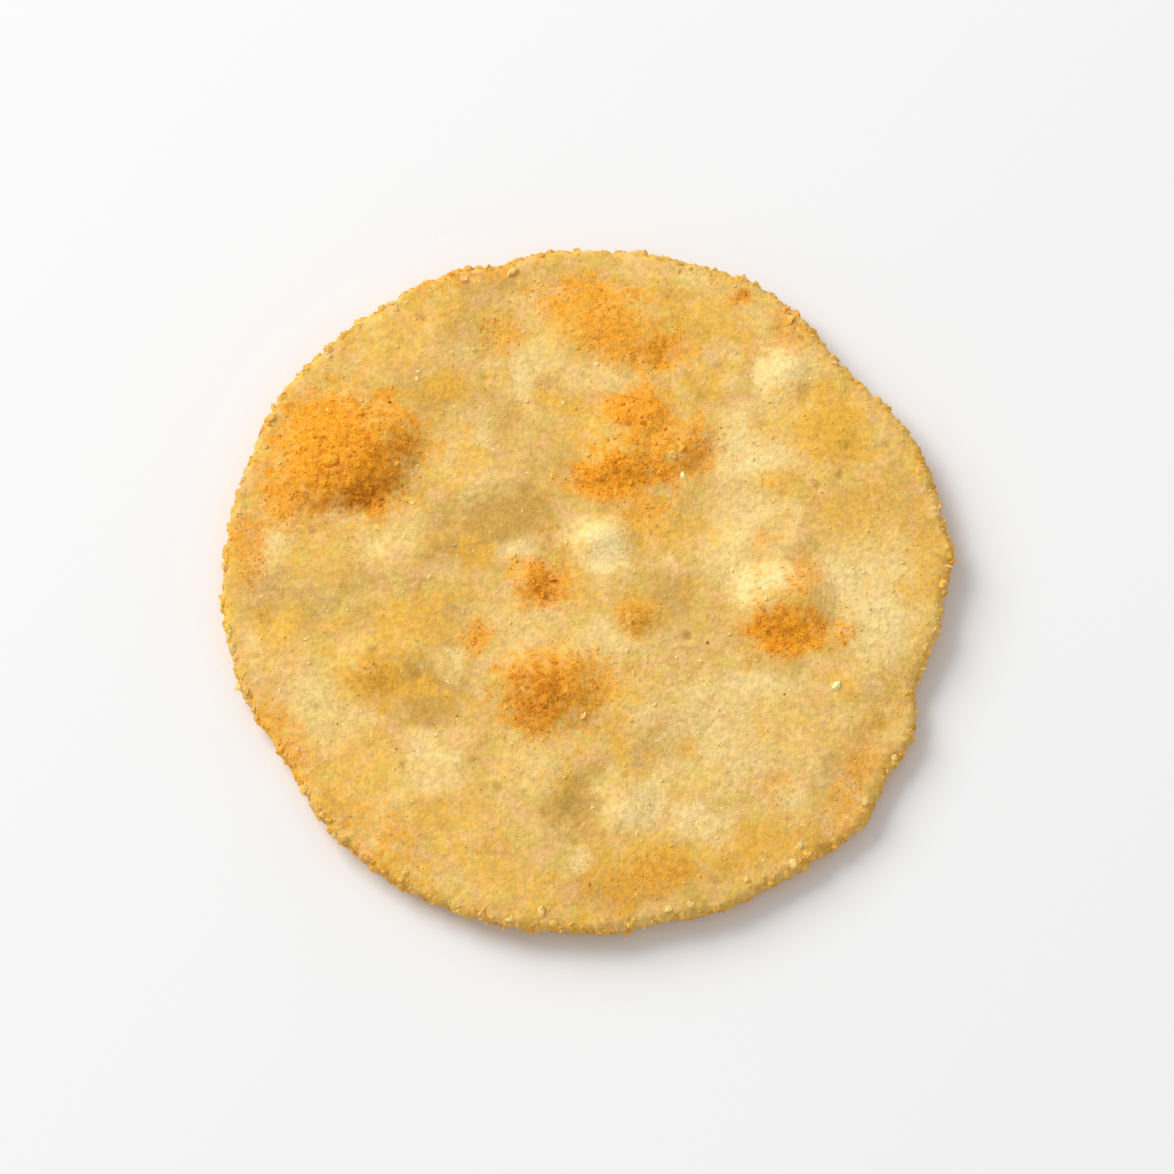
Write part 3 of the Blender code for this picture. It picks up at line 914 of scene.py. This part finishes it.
class Wiring:
    """Adds nodes to a tree: each call makes one node, and its inputs are values or sockets."""

    def __init__(self, tree):
        self.tree = tree

    def add(self, kind, inputs=None, **settings):
        node = self.tree.nodes.new(kind)
        for name, value in settings.items():
            setattr(node, name, value)
        for name, value in (inputs or {}).items():
            if isinstance(value, bpy.types.NodeSocket):
                self.tree.links.new(value, node.inputs[name])
            else:
                node.inputs[name].default_value = value
        return node

    def math(self, operation, one, two=0.0):
        return self.add("ShaderNodeMath", {0: one, 1: two}, operation=operation).outputs[0]

    def noise(self, place, span, detail, roughness):
        """Cloudy noise about 0.5, whose clouds have the given span."""
        inputs = {"Vector": place, "Scale": 1.0 / span, "Detail": detail, "Roughness": roughness}
        return self.add("ShaderNodeTexNoise", inputs).outputs["Fac"]

    def step(self, value, low, high):
        """A soft step from 0 to 1 between two values."""
        inputs = {"Value": value, "From Min": low, "From Max": high}
        return self.add("ShaderNodeMapRange", inputs, interpolation_type="SMOOTHSTEP").outputs["Result"]

    def mix(self, share, under, over, blend="MIX"):
        """A mix of two colours, each a socket or a red, green and blue."""
        node = self.tree.nodes.new("ShaderNodeMix")
        node.data_type = "RGBA"
        node.blend_type = blend
        for socket, value in zip((node.inputs[0], node.inputs[6], node.inputs[7]), (share, under, over)):
            if isinstance(value, bpy.types.NodeSocket):
                self.tree.links.new(value, socket)
            elif isinstance(value, tuple):
                socket.default_value = (*value, 1.0)
            else:
                socket.default_value = value
        return node.outputs[2]

    def shaded(self, colour, shade):
        """A colour made darker or lighter by a number."""
        grey = self.add("ShaderNodeCombineColor", {0: shade, 1: shade, 2: shade}).outputs[0]
        return self.mix(1.0, colour, grey, blend="MULTIPLY")

    def bump(self, shader, height, strength, distance):
        """Roughens a shader's normals by a height."""
        inputs = {"Height": height, "Strength": strength, "Distance": distance}
        self.tree.links.new(self.add("ShaderNodeBump", inputs).outputs["Normal"], shader.inputs["Normal"])


def new_group(name, inputs, outputs):
    """A shader node group with its sockets: {name: (kind, value)} going in and {name: kind} coming out."""
    group = bpy.data.node_groups.new(name, "ShaderNodeTree")
    for socket_name, (kind, value) in inputs.items():
        socket = group.interface.new_socket(socket_name, in_out="INPUT", socket_type=kind)
        if value is not None:
            socket.default_value = value
    for socket_name, kind in outputs.items():
        group.interface.new_socket(socket_name, in_out="OUTPUT", socket_type=kind)
    wiring = Wiring(group)
    return group, wiring, wiring.add("NodeGroupInput").outputs, wiring.add("NodeGroupOutput").inputs


def grit_group():
    """Fine grit, as of powder pressed into dough: a mask from 0 to 1, and a height for a bump."""
    group, wiring, given, made = new_group(
        "grit",
        {"Vector": ("NodeSocketVector", None), "Span": ("NodeSocketFloat", COARSE_GRIT_SPAN)},
        {"Mask": "NodeSocketFloat", "Height": "NodeSocketFloat"},
    )
    scale = wiring.math("DIVIDE", 1.0, given["Span"])
    cells = wiring.add("ShaderNodeTexVoronoi", {"Vector": given["Vector"], "Scale": scale})
    grain = wiring.add("ShaderNodeTexNoise", {"Vector": given["Vector"], "Scale": scale, "Detail": 2.0})
    rounded = wiring.math("SUBTRACT", 1.0, cells.outputs["Distance"])
    tone = wiring.add("ShaderNodeSeparateColor", {"Color": cells.outputs["Color"]}).outputs[0]
    mask = wiring.math("MULTIPLY", tone, 0.5)
    mask = wiring.math("ADD", mask, wiring.math("MULTIPLY", grain.outputs["Fac"], 0.5))
    wiring.tree.links.new(mask, made["Mask"])
    height = wiring.math("ADD", rounded, grain.outputs["Fac"])
    wiring.tree.links.new(height, made["Height"])
    return group


FULLY_BROKEN = 0.25  # amount from which the grit breaks a colour up in full


def dusting_group():
    """How much a colour covers: an amount that is broken up by grit, so that it thins out in grains."""
    group, wiring, given, made = new_group(
        "dusting",
        {
            "Amount": ("NodeSocketFloat", 0.0),
            "Grit": ("NodeSocketFloat", 0.5),
            "Breakup": ("NodeSocketFloat", 0.6),
        },
        {"Cover": "NodeSocketFloat"},
    )
    centred = wiring.math("SUBTRACT", given["Grit"], 0.5)
    broken = wiring.math("MULTIPLY", centred, given["Breakup"])
    present = wiring.step(given["Amount"], 0.0, FULLY_BROKEN)
    moved = wiring.math("ADD", given["Amount"], wiring.math("MULTIPLY", broken, present))
    wiring.tree.links.new(wiring.step(moved, 0.0, 1.0), made["Cover"])
    return group


# Steps of the noise between two colours
CLOUD_STEP = (0.34, 0.66)
BLUSH_STEP = (0.50, 0.66)
STRAW_STEP = (0.50, 0.34)
GRIT_STEP = (0.25, 0.75)
SPECKLE_SHADES = {"From Min": 0.28, "From Max": 0.72, "To Min": 0.81, "To Max": 1.17}
COARSE_HEIGHT = 1.5  # of the coarse grit, beside 1 of the fine

# How much grit breaks up each look, and the most that the look covers
COVERS = {
    "dull_and_shade": (0.3, 1.0),
    "pale": (0.5, 1.0),
    "yellow": (0.9, 0.80),
    "orange": (0.6, 0.95),
    "scorched_and_shade": (0.6, 1.0),
}


def baked_group(grit, dusting):
    """The baked and seasoned colour at a place: mottled tan; dull in darker stains, and dull as painted shade
    in hollows, pits and on the rim wall; pale where it puffed, and painted light on one shaded slope; dusted
    yellow and orange;
    and browned on a few tops, with painted shade on the largest blister's flank away from the light. It also
    gives the tone of the grit there and a height for a bump."""
    given_kinds = {"Vector": ("NodeSocketVector", None)}
    given_kinds.update({name: ("NodeSocketFloat", 0.0) for name in LOOKS})
    group, wiring, given, made = new_group(
        "baked",
        given_kinds,
        {"Color": "NodeSocketColor", "Tone": "NodeSocketFloat", "Height": "NodeSocketFloat"},
    )
    place = given["Vector"]
    fine = wiring.add("ShaderNodeGroup", {"Vector": place, "Span": FINE_GRIT_SPAN}, node_tree=grit)
    coarse = wiring.add("ShaderNodeGroup", {"Vector": place, "Span": COARSE_GRIT_SPAN}, node_tree=grit)
    cloud = wiring.noise(place, CLOUD_SPAN, detail=5.0, roughness=0.66)
    speckle = wiring.noise(place, SPECKLE_SPAN, detail=3.0, roughness=0.66)
    blotch = wiring.noise(place, BLOTCH_SPAN, detail=1.5, roughness=0.5)
    colour = wiring.mix(wiring.step(cloud, *CLOUD_STEP), TAN_DEEP, TAN_LIGHT)
    for step, tone in ((BLUSH_STEP, TAN_BLUSH), (STRAW_STEP, TAN_STRAW)):
        share = wiring.math("MULTIPLY", wiring.step(blotch, *step), BLOTCH_STRENGTH)
        colour = wiring.mix(share, colour, tone)
    orange = wiring.mix(wiring.step(fine.outputs["Mask"], *GRIT_STEP), ORANGE_DEEP, ORANGE)
    tones = {"dull_and_shade": TAN_DULL_AND_SHADE, "pale": PALE, "yellow": YELLOW, "orange": orange, "scorched_and_shade": SCORCHED_AND_SHADE}
    for name, tone in tones.items():
        breakup, most = COVERS[name]
        inputs = {"Amount": given[name], "Grit": coarse.outputs["Mask"], "Breakup": breakup}
        cover = wiring.add("ShaderNodeGroup", inputs, node_tree=dusting).outputs["Cover"]
        colour = wiring.mix(wiring.math("MULTIPLY", cover, most), colour, tone)
    shade = wiring.add("ShaderNodeMapRange", {"Value": speckle, **SPECKLE_SHADES}).outputs["Result"]
    mottled = wiring.shaded(colour, shade)
    mottled.node.clamp_result = True
    wiring.tree.links.new(mottled, made["Color"])
    wiring.tree.links.new(speckle, made["Tone"])
    raised = wiring.math("MULTIPLY", coarse.outputs["Height"], COARSE_HEIGHT)
    wiring.tree.links.new(wiring.math("ADD", fine.outputs["Height"], raised), made["Height"])
    return group


def new_material(name):
    """A material, the wiring of its nodes, and its shader."""
    material = bpy.data.materials.new(name)
    material.use_nodes = True
    return material, Wiring(material.node_tree), material.node_tree.nodes["Principled BSDF"]


def baked_surface(wiring, baked):
    """The baked colour in a material, fed with the looks of its own piece."""
    inputs = {"Vector": wiring.add("ShaderNodeTexCoord").outputs["Object"]}
    for name in LOOKS:
        inputs[name] = wiring.add("ShaderNodeAttribute", attribute_name=name).outputs["Fac"]
    return wiring.add("ShaderNodeGroup", inputs, node_tree=baked).outputs


# The finish of dry baked dough and of its crumbs
DOUGH_SHINE = 0.08
DOUGH_GLOW = 0.10
DOUGH_GLOW_RADIUS = (1.0, 0.5, 0.15)
DOUGH_GLOW_SPAN = 0.6 * MM
CRUST_ROUGHNESS = (0.70, 0.95)
CRUST_BUMP = {"strength": 0.50, "distance": 0.04 * MM}
CRUMB_ROUGHNESS = 0.85
CRUMB_BUMP = {"strength": 0.35, "distance": 0.03 * MM}


def matt(shader):
    """The finish of dry baked dough, which hardly shines and lets a little light through."""
    shader.inputs["Specular IOR Level"].default_value = DOUGH_SHINE
    shader.inputs["Subsurface Weight"].default_value = DOUGH_GLOW
    shader.inputs["Subsurface Radius"].default_value = DOUGH_GLOW_RADIUS
    shader.inputs["Subsurface Scale"].default_value = DOUGH_GLOW_SPAN


def crust_material(baked):
    """Baked rice dough with its seasoning."""
    material, wiring, shader = new_material("seasoned_crust")
    surface = baked_surface(wiring, baked)
    wiring.tree.links.new(surface["Color"], shader.inputs["Base Color"])
    tones = {"Value": surface["Tone"], "To Min": CRUST_ROUGHNESS[0], "To Max": CRUST_ROUGHNESS[1]}
    roughness = wiring.add("ShaderNodeMapRange", tones).outputs["Result"]
    wiring.tree.links.new(roughness, shader.inputs["Roughness"])
    matt(shader)
    wiring.bump(shader, surface["Height"], **CRUST_BUMP)
    return material


def crumb_material(name, baked, tints):
    """A dry crumb in the colour of the crust where it lies, made darker or lighter by its own tint."""
    material, wiring, shader = new_material(name)
    surface = baked_surface(wiring, baked)
    tint = wiring.add("ShaderNodeAttribute", attribute_name="tint").outputs["Fac"]
    shades = {"Value": tint, "To Min": tints[0], "To Max": tints[1]}
    shade = wiring.add("ShaderNodeMapRange", shades).outputs["Result"]
    wiring.tree.links.new(wiring.shaded(surface["Color"], shade), shader.inputs["Base Color"])
    shader.inputs["Roughness"].default_value = CRUMB_ROUGHNESS
    matt(shader)
    wiring.bump(shader, surface["Height"], **CRUMB_BUMP)
    return material


# Shares of a hard grain's own tint and of grit in its colour
TINT_SHARE = 0.75
GRIT_SHARE = 0.3
GRAIN_BUMP = {"strength": 0.4, "distance": 0.03 * MM}


def grain_material(name, grit, light, deep, roughness, specular):
    """A hard grain whose colour lies between two, by the grain's own tint and a little grit."""
    material, wiring, shader = new_material(name)
    place = wiring.add("ShaderNodeTexCoord").outputs["Object"]
    tint = wiring.add("ShaderNodeAttribute", attribute_name="tint").outputs["Fac"]
    fine = wiring.add("ShaderNodeGroup", {"Vector": place, "Span": CRUMB_GRIT_SPAN}, node_tree=grit)
    from_grit = wiring.math("MULTIPLY", fine.outputs["Mask"], GRIT_SHARE)
    share = wiring.math("ADD", wiring.math("MULTIPLY", tint, TINT_SHARE), from_grit)
    wiring.tree.links.new(wiring.mix(share, deep, light), shader.inputs["Base Color"])
    shader.inputs["Roughness"].default_value = roughness
    shader.inputs["Specular IOR Level"].default_value = specular
    wiring.bump(shader, fine.outputs["Height"], **GRAIN_BUMP)
    return material


# Light, floor and camera
FLOOR_SIDE = 3.0
FLOOR_COLOUR = (0.86, 0.86, 0.86)
FLOOR_ROUGHNESS = 0.95
FLOOR_SHINE = 0.1
SKY_STRENGTH = 0.58
SOFTBOX_POWER = 8.0
SOFTBOX_SIDE = 0.62
SOFTBOX_DISTANCE = 0.95
SOFTBOX_AZIMUTH = math.radians(142)  # from +X towards +Y: the light comes from the upper left
SOFTBOX_ELEVATION = math.radians(38)


def make_floor():
    """The plain pale surface that the cracker lies on."""
    bm = bmesh.new()
    bmesh.ops.create_grid(bm, x_segments=1, y_segments=1, size=FLOOR_SIDE / 2)
    mesh = bpy.data.meshes.new("floor")
    bm.to_mesh(mesh)
    bm.free()
    floor = bpy.data.objects.new("floor", mesh)
    bpy.context.scene.collection.objects.link(floor)
    material, _, shader = new_material("white_floor")
    shader.inputs["Base Color"].default_value = (*FLOOR_COLOUR, 1.0)
    shader.inputs["Roughness"].default_value = FLOOR_ROUGHNESS
    shader.inputs["Specular IOR Level"].default_value = FLOOR_SHINE
    mesh.materials.append(material)


def direction(azimuth, elevation):
    """A unit vector from its angle in the floor's plane, measured from +X, and its angle above the floor."""
    level = math.cos(elevation)
    return Vector((level * math.cos(azimuth), level * math.sin(azimuth), math.sin(elevation)))


def make_light():
    """A white sky and one softbox."""
    world = bpy.data.worlds.new("studio")
    world.use_nodes = True
    world.node_tree.nodes["Background"].inputs["Color"].default_value = (1.0, 1.0, 1.0, 1.0)
    world.node_tree.nodes["Background"].inputs["Strength"].default_value = SKY_STRENGTH
    bpy.context.scene.world = world
    lamp = bpy.data.lights.new("softbox", "AREA")
    lamp.shape = "SQUARE"
    lamp.size = SOFTBOX_SIDE
    lamp.energy = SOFTBOX_POWER
    softbox = bpy.data.objects.new("softbox", lamp)
    back = direction(SOFTBOX_AZIMUTH, SOFTBOX_ELEVATION)
    softbox.location = back * SOFTBOX_DISTANCE
    softbox.rotation_euler = (-back).to_track_quat("-Z", "Y").to_euler()
    bpy.context.scene.collection.objects.link(softbox)


def make_camera():
    """A long lens that looks down on the cracker from the front."""
    lens = bpy.data.cameras.new("camera")
    window = ACROSS * WINDOW_PIXELS / ACROSS_PIXELS
    lens.sensor_width = SENSOR
    lens.lens = SENSOR * CAMERA_DISTANCE / window
    lens.clip_start, lens.clip_end = CAMERA_CLIP
    camera = bpy.data.objects.new("camera", lens)
    back = direction(math.radians(-90), CAMERA_ELEVATION)
    camera.location = Vector((0, 0, REST_LIFT)) + back * CAMERA_DISTANCE
    camera.rotation_euler = (-back).to_track_quat("-Z", "Y").to_euler()
    bpy.context.scene.collection.objects.link(camera)
    bpy.context.scene.camera = camera


# Tints of the crumbs, as the least and the greatest share of the crust's colour, and the hard grains' looks
COARSE_TINTS = (0.92, 1.15)
POWDER_TINTS = (0.85, 1.20)
YELLOW_TINTS = (0.88, 1.15)
PALE_TINTS = (0.92, 1.08)
SALT = {"light": (0.97, 0.87, 0.42), "deep": (0.93, 0.76, 0.26), "roughness": 0.3, "specular": 0.5}
FLECK = {"light": (0.38, 0.16, 0.03), "deep": (0.22, 0.09, 0.02), "roughness": 0.8, "specular": 0.3}


def main():
    make_camera()
    make_light()
    make_floor()
    bpy.context.scene.view_settings.view_transform = "Standard"

    grit = grit_group()
    baked = baked_group(grit, dusting_group())
    crust = make_crust()
    crust.data.materials.append(crust_material(baked))
    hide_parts("cracker")

    soil = read_soil(crust)
    pieces = (
        (make_coarse_crumbs(), crumb_material("crumb", baked, COARSE_TINTS)),
        (make_powder(soil), crumb_material("powder", baked, POWDER_TINTS)),
        (make_yellow_crumbs(soil), crumb_material("yellow_crumb", baked, YELLOW_TINTS)),
        (make_pale_crumbs(soil), crumb_material("puffed_crumb", baked, PALE_TINTS)),
        (make_crystals(soil), grain_material("salt", grit, **SALT)),
        (make_flecks(soil), grain_material("fleck", grit, **FLECK)),
    )
    for piece, material in pieces:
        piece.data.materials.append(material)


main()
